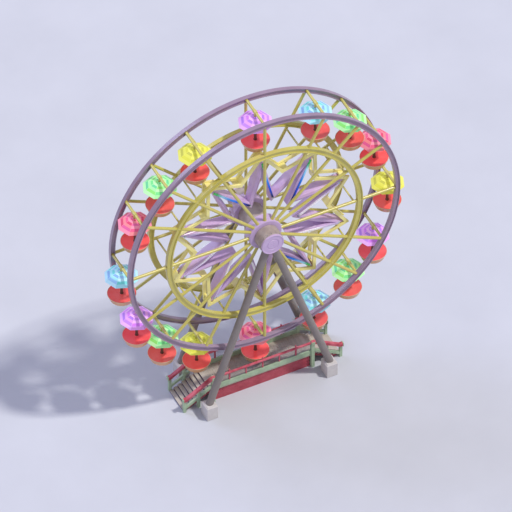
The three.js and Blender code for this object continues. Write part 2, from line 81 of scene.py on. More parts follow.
# Wheel
SIDE_PLANE = 1.27
RIM = Sizes(width=0.32, depth=0.28, outer_flange=0.05, inner_flange=0.06, groove=0.07)
INNER_RING = Sizes(radius=6.43, width=0.37, depth=0.28, outer_flange=0.06, inner_flange=0.09, groove=0.06)
EASE = 0.012
RING_STEPS = 192
ROUND_STEPS = 96
SPOKE = Sizes(radius=0.1, start=1.0, tip=8.9)
CROSSBAR = Sizes(radius=0.092, end=1.3)
INNER_CROSSBAR = Sizes(radius=0.06, place=6.05)
SPOKE_WELD = Sizes(stand=0.012, length=0.05)
SPLICE_BOLT = Sizes(radius=0.022, height=0.014, turn=0.014, rise=0.06)

# Hub, housings and caps
FLANGE = Sizes(radius=1.09, back=0.72, edge=1.38, face=1.43, face_radius=1.03, chamfer=0.02)
BARREL = Sizes(radius=0.8, half=0.718, steps=64)
AXLE_HOLE = 0.305
HOUSING = Sizes(radius=0.79, bore=0.3, start=1.445, end=2.28, ease=0.015, band=0.15, step=0.03,
                chamfer=0.02, screws=16)
HOUSING_SCREW = Sizes(radius=0.022, height=0.018, inset=0.09)
CAP = Sizes(radius=0.745, end=2.4, ease=0.025, lip=0.06, sink=0.03, groove=0.37, half_groove=0.03,
            slope=0.015)
CAP_BOLT = Sizes(radius=0.03, height=0.02, circle=0.12)

# Star and rays
STAR_POINTS = 10
STAR_PLANE = 0.315
STAR_BAR = 0.2
STAR_THICKNESS = 0.13
STAR_OUTER = 6.22
STAR_INNER = 4.6
STAR_CENTRE = -0.55
RIVET = Sizes(radius=0.02, height=0.014, spacing=0.3)
RAY_INNER = 2.1
RAY_THICKNESS = 0.35
RAY_DEPTH = Sizes(outer=0.75, inner=0.6)
# How far a blade's ridge stands out at the star, half way and at the hub
RAY_RIDGE = (0.39, 0.42, 0.35)
LAMP = Sizes(radius=0.02, height=0.02, pitch=0.155, left_out=3)
LENS = Sizes(width=0.12, length=0.15, height=0.08, gap=0.01)
LIT_RAYS = (0, 1, 6, 9)
LIGHTS_END = 0.35

# Legs
LEG = Sizes(radius=0.24, plane=1.98, spread=4.12, sunk=0.05, lap=0.06)
LEG_WELD = Sizes(stand=0.008, length=0.035, shares=(0.34, 0.67), from_top=0.12)
FOOTING_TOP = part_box("footing_front_left")[1].z

# Gondolas, from the crossbar down
TUB = Sizes(top=-2.2, floor=-2.225, bottom=-2.63, top_radius=0.89, bottom_radius=0.75, wall=0.02, lip=0.03,
            ease=0.006, step=0.008, seam=0.004, shell=0.03, pan=0.02, well=0.5)
# The tub's rounded heel, as (distance in, height) from its lowest corner
TUB_HEEL = ((0.05, 0.0), (0.012, 0.015), (0.0, 0.05))
TUB_STEPS = 64
POLE = Sizes(radius=0.09, top=-0.1, slimmer=0.004)
POLE_FOOT = Sizes(stand=0.025, length=0.03)
SLEEVE = Sizes(radius=0.12, half=0.15)
CANOPY = Sizes(radius=1.08, brim=-0.8, top=-0.31, wall=0.035, draft=0.02, sides=8)
CANOPY_BANDS = (1.0, 0.84, 0.69, 0.54, 0.39, 0.24, 0.09)
CANOPY_BEAD = Sizes(radius=0.012, inset=0.014)
CANOPY_TINTS = 5
BRIM_TINT = 0.5 / CANOPY_TINTS
UNDERSIDE_TINT = 2.5 / CANOPY_TINTS

# Platform
DECK = Sizes(length=3.31, width=1.06, top=1.1, thickness=0.12)
DECK_BOARD = Sizes(width=0.135, gap=0.006, thickness=0.045, overhang=0.02, seat=0.004)
SKIRT = Sizes(width=0.95, wall=0.07, courses=7, board=0.6, joint=0.008, thickness=0.022, centre=0.01,
              backing=0.012)
STEPS = Sizes(count=8, run=0.27, depth=0.25, thickness=0.045, half_width=0.925)
RISER = Sizes(near=0.03, far=0.045, side=0.01)
STRINGER = Sizes(outer=0.86, width=0.06, depth=0.2, bearing=0.07)
CURB_TOP = 1.45
RAIL = Sizes(bottom=2.01, inner=0.965)
BALUSTER = Sizes(size=0.09, pitch=1.14, tall_top=2.23, ball_steps=24)
# The ball on a tall baluster, as (radius, height) from the baluster's top
BALL = ((0, -0.002), (0.05, 0.0), (0.05, 0.015), (0.03, 0.022), (0.045, 0.045), (0.05, 0.065),
        (0.042, 0.09), (0.02, 0.104), (0, 0.107))
PICKET = Sizes(size=0.018, pitch=0.07, margin=0.05)
# Opposite corners of the caps on the deck posts and at the feet of the stair rails
POST_CAPS = (((3.302, 0.922, 1.99), (3.538, 1.21, 2.225)), ((5.47, 0.945, 0.935), (5.53, 1.215, 1.215)))

# Camera, solved from the photograph: the wheel's centre lies at HUB_PIXEL of a 512 pixel square frame
AZIMUTH = radians(-26.565)
ELEVATION = radians(45)
PIXELS_PER_METRE = 16.544
CAMERA_DISTANCE = 425.0
FRAME_PIXELS = 512
HUB_PIXEL = (255.3, 219.7)
SENSOR_MM = 36.0

# Studio
FLOOR = Sizes(reach=400, drop=0.002)


def linear(code):
    """An sRGB hex colour as Blender's linear RGBA."""
    channels = [int(code[i:i + 2], 16) / 255 for i in (1, 3, 5)]
    return (*[c / 12.92 if c <= 0.04045 else ((c + 0.055) / 1.055) ** 2.4 for c in channels], 1.0)


def feed(tree, target, inputs):
    """Sets a node's inputs from values, or links them to a socket or to a node's first output in use."""
    for key, value in inputs.items():
        if isinstance(value, bpy.types.Node):
            value = next(output for output in value.outputs if output.enabled)
        if isinstance(value, bpy.types.NodeSocket):
            tree.links.new(value, target.inputs[key])
        else:
            target.inputs[key].default_value = value


def node(tree, kind, inputs=None, stops=(), **settings):
    """Adds one node with its settings and links; stops are a colour ramp's (position, hex) pairs."""
    made = tree.nodes.new(kind)
    for name, value in settings.items():
        setattr(made, name, value)
    if stops:
        elements = made.color_ramp.elements
        while len(elements) < len(stops):
            elements.new(0.5)
        for element, (position, code) in zip(elements, stops):
            element.position = position
            element.color = linear(code)
    feed(tree, made, inputs or {})
    return made


# Patterns that the finishes share


def mottled(tree, place, size, stops, detail=4.0, roughness=0.55):
    """A colour that drifts between its stops in soft patches of about a size."""
    patches = node(tree, "ShaderNodeTexNoise",
                   {"Vector": place, "Scale": 1 / size, "Detail": detail, "Roughness": roughness})
    return node(tree, "ShaderNodeValToRGB", {"Fac": patches}, stops)


def drift(tree, place, size, low, high):
    """A value that drifts between low and high in soft patches of about a size."""
    patches = node(tree, "ShaderNodeTexNoise",
                   {"Vector": place, "Scale": 1 / size, "Detail": 4.0, "Roughness": 0.55})
    return node(tree, "ShaderNodeMapRange",
                {"Value": patches, "From Min": 0.3, "From Max": 0.7, "To Min": low, "To Max": high})


def relief(tree, place, size, detail, depth, strength):
    """Fine relief whose marks are about size metres across and depth metres deep."""
    marks = node(tree, "ShaderNodeTexNoise",
                 {"Vector": place, "Scale": 1 / size, "Detail": detail, "Roughness": 0.55})
    return node(tree, "ShaderNodeBump", {"Height": marks, "Distance": depth, "Strength": strength})


def wood_grain(tree, place, along, changes, lines_across, detail):
    """Grain along an axis, with so many changes to the metre along it and lines to the metre across it."""
    scale = tuple(changes if axis == along else lines_across for axis in "XYZ")
    stretched = node(tree, "ShaderNodeMapping", {"Vector": place, "Scale": scale})
    return node(tree, "ShaderNodeTexNoise", {"Vector": stretched, "Scale": 1.0, "Detail": detail})


# Finishes


def surface(name):
    """A new material, its tree and the object coordinates that its patterns read."""
    material = bpy.data.materials.new(name)
    material.use_nodes = True
    tree = material.node_tree
    return material, tree, node(tree, "ShaderNodeTexCoord").outputs["Object"]


def finished(material, inputs):
    """The material, with the inputs of its shader set."""
    feed(material.node_tree, material.node_tree.nodes["Principled BSDF"], inputs)
    return material


def enamel(name, shade, body, light, roughness=0.38, coat=0.25):
    """Brushed-on gloss enamel over steel: soft patches where the sun has chalked it, and brush drag."""
    material, tree, place = surface(name)
    return finished(material, {
        "Base Color": mottled(tree, place, 0.9, ((0.3, shade), (0.5, body), (0.72, light))),
        "Roughness": drift(tree, place, 0.15, roughness - 0.06, roughness + 0.1),
        # Brush drag of about 25 mm, coarser than the real 2 mm bristle marks so that it shows
        "Normal": relief(tree, place, 0.025, 2.0, 0.0008, 0.35),
        "Coat Weight": coat,
        "Coat Roughness": 0.18,
    })


def painted_timber(name, shade, body, light):
    """Oil paint on sawn timber: grain telegraphs through it, and the paint is dull in patches."""
    material, tree, place = surface(name)
    # Grain 12 mm wide and about 0.6 m long, coarser than the real 2 mm so that it shows
    grain = wood_grain(tree, place, "X", 1.6, 80.0, 3.0)
    patches = node(tree, "ShaderNodeTexNoise",
                   {"Vector": place, "Scale": 2.0, "Detail": 4.0, "Roughness": 0.55})
    mixed = node(tree, "ShaderNodeMath", {0: grain, 1: patches, 2: patches}, operation="MULTIPLY_ADD")
    stops = ((0.45, shade), (0.66, body), (0.92, light))
    return finished(material, {
        "Base Color": node(tree, "ShaderNodeValToRGB", {"Fac": mixed}, stops),
        "Roughness": drift(tree, place, 0.5, 0.5, 0.68),
        "Normal": node(tree, "ShaderNodeBump", {"Height": grain, "Distance": 0.0015, "Strength": 0.45}),
    })


def casting(name, shade, body, light):
    """Sand-cast iron under grey-brown primer: a pebbled skin and slow changes of tone."""
    material, tree, place = surface(name)
    return finished(material, {
        "Base Color": mottled(tree, place, 0.4, ((0.3, shade), (0.5, body), (0.7, light))),
        "Roughness": drift(tree, place, 0.08, 0.45, 0.65),
        # Sand grain drawn at 12 mm, coarser than the real 1 mm
        "Normal": relief(tree, place, 0.012, 1.0, 0.0012, 0.5),
        "Metallic": 0.15,
    })


def cast_concrete(name, shade, body, light, hole):
    """Concrete struck smooth in a form: blow holes, damp patches and a faint grey film."""
    material, tree, place = surface(name)
    film = mottled(tree, place, 0.35, ((0.28, shade), (0.5, body), (0.74, light)), 6.0, 0.65)
    # Blow holes about 30 mm apart
    cells = node(tree, "ShaderNodeTexVoronoi", {"Vector": place, "Scale": 33.0})
    pits = node(tree, "ShaderNodeMapRange", {"Value": cells, "From Min": 0.06, "From Max": 0.2})
    return finished(material, {
        "Base Color": node(tree, "ShaderNodeMix", {"Factor": pits, "A": linear(hole), "B": film},
                           data_type="RGBA"),
        "Roughness": 0.88,
        "Normal": node(tree, "ShaderNodeBump", {"Height": pits, "Distance": 0.003, "Strength": 0.4}),
    })


def weathered_boards(name, shade, body, light):
    """Bare sawn boards gone grey outdoors: each board has its own tone, with open grain along it."""
    material, tree, place = surface(name)
    # Open grain 14 mm wide and about 0.55 m long, coarser than the real 3 mm so that it shows
    grain = wood_grain(tree, place, "Y", 1.8, 70.0, 4.0)
    board = node(tree, "ShaderNodeAttribute", attribute_name="board_tone").outputs["Fac"]
    mixed = node(tree, "ShaderNodeMath", {0: board, 1: 0.45, 2: grain}, operation="MULTIPLY_ADD")
    stops = ((0.35, shade), (0.7, body), (1.0, light))
    return finished(material, {
        "Base Color": node(tree, "ShaderNodeValToRGB", {"Fac": mixed}, stops),
        "Roughness": 0.75,
        "Normal": node(tree, "ShaderNodeBump", {"Height": grain, "Distance": 0.002, "Strength": 0.6}),
    })


def gelcoat(name, shade, body, light, painted_glow="#000000"):
    """Moulded glass-fibre with a polished gelcoat: clear gloss over an even colour with a slight orange peel.

    The glow colour, where given, is painted light: it brightens the parts in shade.
    """
    material, tree, place = surface(name)
    return finished(material, {
        "Base Color": mottled(tree, place, 0.5, ((0.3, shade), (0.5, body), (0.7, light))),
        "Roughness": drift(tree, place, 0.12, 0.26, 0.4),
        # Orange peel drawn at 20 mm, coarser than the real 3 mm so that it shows
        "Normal": relief(tree, place, 0.02, 1.0, 0.0005, 0.3),
        "Emission Color": linear(painted_glow),
        "Emission Strength": 1.0,
        "Coat Weight": 0.3,
        "Coat Roughness": 0.1,
        "IOR": 1.52,
    })


def canopy_panels(name, palette):
    """Glass-fibre canopy panels, each band of each panel in one of the canopy's related tints."""
    material, tree, place = surface(name)
    tint = node(tree, "ShaderNodeAttribute", attribute_name="tint").outputs["Fac"]
    flat = node(tree, "ShaderNodeValToRGB", {"Fac": tint},
                [(index / len(palette), code) for index, code in enumerate(palette)])
    flat.color_ramp.interpolation = "CONSTANT"
    wear = {"Factor": drift(tree, place, 0.3, 0.0, 0.1), "A": flat, "B": linear("#c8c4cc")}
    return finished(material, {
        "Base Color": node(tree, "ShaderNodeMix", wear, data_type="RGBA", blend_type="MULTIPLY"),
        "Roughness": drift(tree, place, 0.1, 0.48, 0.6),
        "Normal": relief(tree, place, 0.02, 1.0, 0.0004, 0.3),
        # A faint glow in the panels' own colours: painted light that lifts the shade and cast shadows on the
        # panels
        "Emission Color": flat,
        "Emission Strength": 0.2,
        "Coat Weight": 0.08,
        "Coat Roughness": 0.3,
    })


def zinc(name, shade, light):
    """Hot-dip galvanised bolts: dull grey with a crystal spangle, drawn at 15 mm."""
    material, tree, place = surface(name)
    spangle = node(tree, "ShaderNodeTexVoronoi", {"Vector": place, "Scale": 66.0}).outputs["Color"]
    grey = node(tree, "ShaderNodeRGBToBW", {"Color": spangle})
    shades = node(tree, "ShaderNodeValToRGB", {"Fac": grey}, ((0.2, shade), (0.8, light)))
    return finished(material, {"Base Color": shades, "Metallic": 0.85, "Roughness": 0.42})


def light_strip(name, stops, glow):
    """Acrylic lenses over a strip of lamps, in colours that change from the hub to the star."""
    material, tree, place = surface(name)
    centred = node(tree, "ShaderNodeVectorMath", {0: place, 1: HUB}, operation="SUBTRACT")
    flat = node(tree, "ShaderNodeVectorMath", {0: centred, 1: (1.0, 0.0, 1.0)}, operation="MULTIPLY")
    reach = node(tree, "ShaderNodeVectorMath", {0: flat}, operation="LENGTH")
    share = node(tree, "ShaderNodeMapRange",
                 {"Value": reach, "From Min": RAY_INNER, "From Max": STAR_OUTER - LIGHTS_END})
    colour = node(tree, "ShaderNodeValToRGB", {"Fac": share}, stops)
    return finished(material, {"Base Color": colour, "Emission Color": colour, "Emission Strength": glow,
                               "Roughness": 0.12, "IOR": 1.49})


PALETTES = {
    "violet": ("#ecb6fa", "#e4a4f2", "#d07cee", "#b07ce4", "#c68aec"),
    "blue": ("#b8e8f7", "#a2e5f0", "#74d8d8", "#84b0e2", "#98c8f0"),
    "green": ("#c0fbb4", "#acf6a6", "#78e28a", "#6cd496", "#90e874"),
    "pink": ("#f894ac", "#f28a90", "#e85a88", "#dc466e", "#e2629c"),
    "yellow": ("#eaea68", "#e2e256", "#d4d442", "#c4c44c", "#dcdc48"),
}

FINISH = {
    "rim": enamel("mauve_enamel", "#957f93", "#9c869a", "#a38da1", roughness=0.34, coat=0.5),
    "frame": enamel("yellow_enamel", "#c7bd5a", "#cdc362", "#d3ca6a", roughness=0.3, coat=0.5),
    "star": enamel("pale_yellow_enamel", "#f7ed92", "#faf19a", "#fdf5a4"),
    "lavender": enamel("lavender_enamel", "#c4aad0", "#cab1d5", "#d0b8da"),
    "ray": enamel("ray_enamel", "#c6a6d0", "#ceafd7", "#d6b9de", roughness=0.34, coat=0.3),
    "leg": enamel("grey_enamel", "#837a76", "#88807b", "#8d8580", roughness=0.5, coat=0.1),
    "pole": enamel("brown_enamel", "#5a4638", "#665040", "#725a48", roughness=0.5, coat=0.1),
    "picket": enamel("dark_picket_enamel", "#5d5468", "#665c71", "#6f657a", roughness=0.5, coat=0.1),
    "housing": casting("bearing_casting", "#a3958f", "#b0a29b", "#bcafa7"),
    "concrete": cast_concrete("cast_concrete", "#c8c4c1", "#cecac7", "#d4d1cd", "#b6b2af"),
    "deck": weathered_boards("weathered_deck_boards", "#aaa398", "#b1aa9f", "#b8b1a5"),
    "tread": weathered_boards("weathered_tread_boards", "#bab1a6", "#beb6aa", "#c3bbaf"),
    # The risers are the treads' boards, coloured dark violet-grey as painted shade for faces turned from the
    # key light
    "riser": weathered_boards("shade_painted_riser_boards", "#5a4f6c", "#625774", "#6a5f7c"),
    "skirt": painted_timber("crimson_skirt_paint", "#a63f4c", "#b34a57", "#bc5562"),
    "rail": painted_timber("crimson_rail_paint", "#a53546", "#c05060", "#cf6a78"),
    "green": painted_timber("green_timber_paint", "#9bb391", "#a6be9c", "#b1c8a7"),
    # The red pan's faint red glow is painted light that lifts its shaded parts
    "tub_inside": gelcoat("red_gelcoat", "#f25a54", "#f5625c", "#f86c66", painted_glow="#660a0a"),
    "tub_outside": gelcoat("tan_gelcoat", "#d59c69", "#dba36f", "#e1aa76"),
    "tub_rim": gelcoat("cream_gelcoat", "#d8bb92", "#e2c79e", "#ecd4ae"),
    "bolt": zinc("galvanised_bolts", "#8b8a8c", "#b4b3b4"),
    "strip_lit": light_strip("lit_acrylic_strip", (
        (0.0, "#2848c8"), (0.06, "#f2f4fa"), (0.12, "#070a30"), (0.3, "#0f45d8"), (0.52, "#2f8ef0"),
        (0.72, "#a8e4fb"), (0.84, "#46c45a")), 0.12),
    "strip_dim": light_strip("dim_acrylic_strip", (
        (0.0, "#7f9be0"), (0.08, "#2a2c5c"), (0.14, "#f6f3fa"), (0.5, "#f8f6fb"), (0.62, "#d6c8e4"),
        (0.86, "#c4b0d6"), (0.94, "#7fca90")), 0.08),
}
for colour, palette in PALETTES.items():
    FINISH[f"canopy_{colour}"] = canopy_panels(f"{colour}_canopy_gelcoat", palette)


# Meshes


class Shape:
    """Corners and faces that become one mesh of one finish."""

    def __init__(self):
        self.corners = []
        self.faces = []
        self.tints = []

    def add(self, corners, faces, tint=0.0):
        start = len(self.corners)
        self.corners += [tuple(corner) for corner in corners]
        self.faces += [tuple(start + i for i in face) for face in faces]
        self.tints += [tint] * len(faces)
        return self

    def box(self, first, second):
        """A box between two opposite corners."""
        (x0, x1), (y0, y1), (z0, z1) = zip(first, second)
        return self.prism([(x0, z0), (x1, z0), (x1, z1), (x0, z1)], y0, y1)

    def prism(self, outline, near, far):
        """An outline in the XZ plane, from y near to y far."""
        count = len(outline)
        corners = [(x, y, z) for y in (near, far) for x, z in outline]
        sides = [(i, (i + 1) % count, count + (i + 1) % count, count + i) for i in range(count)]
        return self.add(corners, [tuple(range(count)), tuple(range(2 * count - 1, count - 1, -1)), *sides])

    def lathe(self, outline, steps, place):
        """An outline of (radius, height) turned about an axis; place(r, turn, h) gives the point.

        An outline that starts on the axis ends on it, and any other closes on itself.
        """
        index = {}
        corners = []
        for row, (radius, height) in enumerate(outline):
            for step in range(steps):
                if radius > 0 or step == 0:
                    corners.append(place(radius, 2 * pi * step / steps, height))
                index[row, step] = len(corners) - 1
        rows = range(len(outline))
        pairs = list(zip(rows, rows[1:]))
        if outline[0][0] > 0:
            pairs.append((rows[-1], 0))
        faces = []
        for a, b in pairs:
            for step in range(steps):
                after = (step + 1) % steps
                face = list(dict.fromkeys([index[a, step], index[a, after], index[b, after], index[b, step]]))
                if len(face) > 2:
                    faces.append(face)
        return self.add(corners, faces)

    def mesh(self, finish, bevel=0.0, smooth=None, weld=0.0):
        """The closed mesh with outward faces, bevelled or welded where asked, and smooth up to an angle."""
        mesh = bpy.data.meshes.new("shape")
        mesh.from_pydata(self.corners, [], self.faces)
        mesh.attributes.new("tint", "FLOAT", "FACE").data.foreach_set("value", self.tints)
        work = bmesh.new()
        work.from_mesh(mesh)
        if weld:
            bmesh.ops.remove_doubles(work, verts=work.verts, dist=weld)
        bmesh.ops.recalc_face_normals(work, faces=work.faces)
        if bevel:
            bevel_edges(work, 35, offset=bevel, segments=2, profile=0.6)
        work.to_mesh(mesh)
        work.free()
        mesh.materials.append(FINISH[finish])
        return shaded(mesh, smooth)


def bevel_edges(work, angle, **settings):
    """Bevels the edges that turn by more than an angle in degrees."""
    sharp = [edge for edge in work.edges if edge.is_manifold and edge.calc_face_angle() > radians(angle)]
    bmesh.ops.bevel(work, geom=sharp, affect="EDGES", clamp_overlap=True, **settings)


def shaded(mesh, smooth):
    if smooth is not None:
        mesh.shade_smooth()
        mesh.set_sharp_from_angle(angle=radians(smooth))
    return mesh


def about_axle(side):
    """Places (radius, turn, depth) about the wheel's axle, with depth growing to the front or the rear."""
    return lambda r, t, h: HUB + Vector((r * cos(t), side * h, r * sin(t)))


def upright(centre):
    """Places (radius, turn, height) about an upright axis."""
    return lambda r, t, h: centre + Vector((r * cos(t), r * sin(t), h))


def around(angle, radius, depth=0.0):
    """A point of the wheel at an angle, a radius and a depth."""
    return HUB + Vector((radius * cos(angle), depth, radius * sin(angle)))


def even_turns(count):
    """The angles of so many places spaced evenly round a full turn."""
    return [2 * pi * i / count for i in range(count)]


def lines(*routes):
    """A mesh of edges: each route is a list of points, and a closed one repeats its first point last."""
    corners, edges = [], []
    for route in routes:
        closed = len(route) > 2 and (Vector(route[0]) - Vector(route[-1])).length < 1e-9
        points = route[:-1] if closed else route
        start = len(corners)
        corners += [tuple(point) for point in points]
        edges += [(start + i, start + i + 1) for i in range(len(points) - 1)]
        if closed:
            edges.append((start + len(points) - 1, start))
    mesh = bpy.data.meshes.new("lines")
    mesh.from_pydata(corners, edges, [])
    return mesh


def facing_points(rows):
    """A mesh of loose points, each with the way it faces and, where given, the way it runs along."""
    mesh = bpy.data.meshes.new("points")
    mesh.from_pydata([tuple(row[0]) for row in rows], [], [])
    for column, name in enumerate(("facing", "along")[:len(rows[0]) - 1], 1):
        attribute = mesh.attributes.new(name, "FLOAT_VECTOR", "POINT")
        for item, row in zip(attribute.data, rows):
            item.vector = Vector(row[column]).normalized()
    return mesh


def from_frame(name, finish, bevel):
    """A frame node's solid with its triangles joined into flat faces and its edges bevelled."""
    mesh = frame["nodes"][name].data.copy()
    work = bmesh.new()
    work.from_mesh(mesh)
    bmesh.ops.remove_doubles(work, verts=work.verts, dist=1e-4)
    bmesh.ops.dissolve_limit(work, angle_limit=radians(0.5), verts=work.verts, edges=work.edges)
    bevel_edges(work, 12, offset=bevel, segments=1)
    work.to_mesh(mesh)
    work.free()
    mesh.materials.clear()
    mesh.materials.append(FINISH[finish])
    return mesh


def put(name, data):
    """A new object in the scene."""
    made = bpy.data.objects.new(name, data)
    bpy.context.scene.collection.objects.link(made)
    return made


def piece(name, body, meshes, replaces=()):
    """Joins meshes into one piece that rides on a body and stands for CAD nodes."""
    whole = bmesh.new()
    finishes = []
    for mesh in meshes:
        first = len(whole.faces)
        whole.from_mesh(mesh)
        whole.faces.ensure_lookup_table()
        finishes += [material for material in mesh.materials if material not in finishes]
        order = [finishes.index(material) for material in mesh.materials]
        for face in whole.faces[first:]:
            face.material_index = order[face.material_index]
    joined = bpy.data.meshes.new(name)
    whole.to_mesh(joined)
    whole.free()
    for finish in finishes:
        joined.materials.append(finish)
    made = put(name, joined)
    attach(made, body)
    if replaces:
        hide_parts(*replaces)


# Geometry node trees, each a small maker of what repeats


def growing_tree(name, **sizes):
    """A tree with named sizes, and the sockets of its inputs."""
    kinds = {float: "NodeSocketFloat", int: "NodeSocketInt", tuple: "NodeSocketVector"}
    tree = bpy.data.node_groups.new(name, "GeometryNodeTree")
    tree.interface.new_socket("Geometry", in_out="INPUT", socket_type="NodeSocketGeometry")
    for label, value in sizes.items():
        socket = tree.interface.new_socket(label.replace("_", " "), in_out="INPUT",
                                           socket_type=kinds[type(value)])
        socket.default_value = value
    tree.interface.new_socket("Finish", in_out="INPUT", socket_type="NodeSocketMaterial")
    tree.interface.new_socket("Geometry", in_out="OUTPUT", socket_type="NodeSocketGeometry")
    return tree, node(tree, "NodeGroupInput").outputs


def end_tree(tree, given, geometry):
    real = node(tree, "GeometryNodeRealizeInstances", {"Geometry": geometry})
    dressed = node(tree, "GeometryNodeSetMaterial", {"Geometry": real, "Material": given["Finish"]})
    node(tree, "NodeGroupOutput", {"Geometry": dressed})
    return tree


def stamped(tree, given, points, shape, **turn):
    """Ends a tree that sets a shape on each point."""
    placed = {"Points": points, "Instance": shape, **turn}
    return end_tree(tree, given, node(tree, "GeometryNodeInstanceOnPoints", placed))


def turned_to_face(tree):
    """The rotation that turns +Z to each point's facing attribute."""
    facing = node(tree, "GeometryNodeInputNamedAttribute", {"Name": "facing"}, data_type="FLOAT_VECTOR")
    return node(tree, "FunctionNodeAlignRotationToVector", {"Vector": facing}, axis="Z")


def make_tube_tree():
    """Round tubes along the edges of the start mesh, closed at their ends."""
    tree, given = growing_tree("tubes_along_edges", Radius=0.1, Sides=16)
    path = node(tree, "GeometryNodeMeshToCurve", {"Mesh": given["Geometry"]})
    section = node(tree, "GeometryNodeCurvePrimitiveCircle",
                   {"Resolution": given["Sides"], "Radius": given["Radius"]})
    tube = node(tree, "GeometryNodeCurveToMesh", {"Curve": path, "Profile Curve": section, "Fill Caps": True})
    return end_tree(tree, given, tube)


def make_bolt_tree():
    """A hexagon head on a washer at each point, standing along the point's facing attribute."""
    tree, given = growing_tree("bolts_on_points", Head_Radius=0.03, Head_Height=0.02)
    head = node(tree, "GeometryNodeMeshCylinder",
                {"Vertices": 6, "Radius": given["Head Radius"], "Depth": given["Head Height"]})
    wide = node(tree, "ShaderNodeMath", {0: given["Head Radius"], 1: 1.5}, operation="MULTIPLY")
    thin = node(tree, "ShaderNodeMath", {0: given["Head Height"], 1: 0.5}, operation="MULTIPLY")
    washer = node(tree, "GeometryNodeMeshCylinder", {"Vertices": 12, "Radius": wide, "Depth": thin})
    lift = node(tree, "ShaderNodeCombineXYZ", {"Z": thin})
    raised = node(tree, "GeometryNodeTransform", {"Geometry": head, "Translation": lift})
    whole = node(tree, "GeometryNodeJoinGeometry", {"Geometry": washer})
    feed(tree, whole, {"Geometry": raised})
    return stamped(tree, given, given["Geometry"], whole, Rotation=turned_to_face(tree))


def make_collar_tree():
    """A short round sleeve at each point, along the point's facing attribute."""
    tree, given = growing_tree("collars_on_points", Radius=0.12, Length=0.1)
    sleeve = node(tree, "GeometryNodeMeshCylinder",
                  {"Vertices": 24, "Radius": given["Radius"], "Depth": given["Length"]})
    return stamped(tree, given, given["Geometry"], sleeve, Rotation=turned_to_face(tree))


def make_board_tree():
    """One sawn board on each point; the seed gives each its tone and a slight lift."""
    tree, given = growing_tree("boards_on_points", Board_Size=(1.0, 0.1, 0.03), Unevenness=0.002, Seed=7)
    board = node(tree, "GeometryNodeMeshCube", {"Size": given["Board Size"]})
    low = node(tree, "ShaderNodeMath", {0: given["Unevenness"], 1: -1.0}, operation="MULTIPLY")
    shift = node(tree, "FunctionNodeRandomValue",
                 {"Min": low, "Max": given["Unevenness"], "Seed": given["Seed"]}, data_type="FLOAT")
    lift = node(tree, "ShaderNodeCombineXYZ", {"Z": shift})
    uneven = node(tree, "GeometryNodeSetPosition", {"Geometry": given["Geometry"], "Offset": lift})
    placed = node(tree, "GeometryNodeInstanceOnPoints", {"Points": uneven, "Instance": board})
    tone = node(tree, "FunctionNodeRandomValue", {"Seed": given["Seed"]}, data_type="FLOAT")
    toned = node(tree, "GeometryNodeStoreNamedAttribute",
                 {"Geometry": placed, "Name": "board_tone", "Value": tone},
                 data_type="FLOAT", domain="INSTANCE")
    return end_tree(tree, given, toned)


def make_picket_tree():
    """Upright square pickets at a pitch along the edges of the start mesh."""
    tree, given = growing_tree("pickets_along_edges", Pitch=0.1, Picket_Size=0.012, Picket_Height=0.5)
    size, height = given["Picket Size"], given["Picket Height"]
    path = node(tree, "GeometryNodeMeshToCurve", {"Mesh": given["Geometry"]})
    points = node(tree, "GeometryNodeCurveToPoints", {"Curve": path, "Length": given["Pitch"]}, mode="LENGTH")
    picket = node(tree, "GeometryNodeMeshCube",
                  {"Size": node(tree, "ShaderNodeCombineXYZ", {"X": size, "Y": size, "Z": height})})
    half = node(tree, "ShaderNodeMath", {0: height, 1: 0.5}, operation="MULTIPLY")
    lift = node(tree, "ShaderNodeCombineXYZ", {"Z": half})
    standing = node(tree, "GeometryNodeTransform", {"Geometry": picket, "Translation": lift})
    return stamped(tree, given, points, standing)


def make_lens_tree():
    """A flat lens cap on each point, its length turned along the point's along attribute."""
    tree, given = growing_tree("lenses_on_points", Lens_Size=(0.1, 0.1, 0.05))
    along = node(tree, "GeometryNodeInputNamedAttribute", {"Name": "along"}, data_type="FLOAT_VECTOR")
    turned = node(tree, "FunctionNodeAlignRotationToVector",
                  {"Rotation": turned_to_face(tree), "Vector": along}, axis="Y", pivot_axis="Z")
    lens = node(tree, "GeometryNodeMeshCube", {"Size": given["Lens Size"]})
    return stamped(tree, given, given["Geometry"], lens, Rotation=turned)


TUBES = make_tube_tree()
BOLTS = make_bolt_tree()
COLLARS = make_collar_tree()
BOARDS = make_board_tree()
PICKETS = make_picket_tree()
LENSES = make_lens_tree()


def grown(tree, start, finish, smooth=None, **sizes):
    """The mesh that a tree makes of a start mesh, with its sizes set by the sockets' identifiers."""
    carrier = put("carrier", start)
    modifier = carrier.modifiers.new("grow", "NODES")
    modifier.node_group = tree
    values = {label.replace("_", " "): value for label, value in sizes.items()}
    values["Finish"] = FINISH[finish]
    for socket in tree.interface.items_tree:
        if socket.in_out == "INPUT" and socket.name in values:
            modifier[socket.identifier] = values[socket.name]
    graph = bpy.context.evaluated_depsgraph_get()
    mesh = bpy.data.meshes.new_from_object(carrier.evaluated_get(graph))
    bpy.data.objects.remove(carrier)
    return shaded(mesh, smooth)


def tubes(routes, finish, radius, sides):
    return grown(TUBES, lines(*routes), finish, smooth=40, Radius=radius, Sides=sides)


def collars(rows, finish, radius, length):
    return grown(COLLARS, facing_points(rows), finish, smooth=40, Radius=radius, Length=length)


def bolts(rows, finish, size):
    return grown(BOLTS, facing_points(rows), finish, Head_Radius=size.radius, Head_Height=size.height)


def boards(centres, finish, size, unevenness, seed):
    rows = [(centre, UP) for centre in centres]
    return grown(BOARDS, facing_points(rows), finish, Board_Size=size, Unevenness=unevenness, Seed=seed)


# Wheel


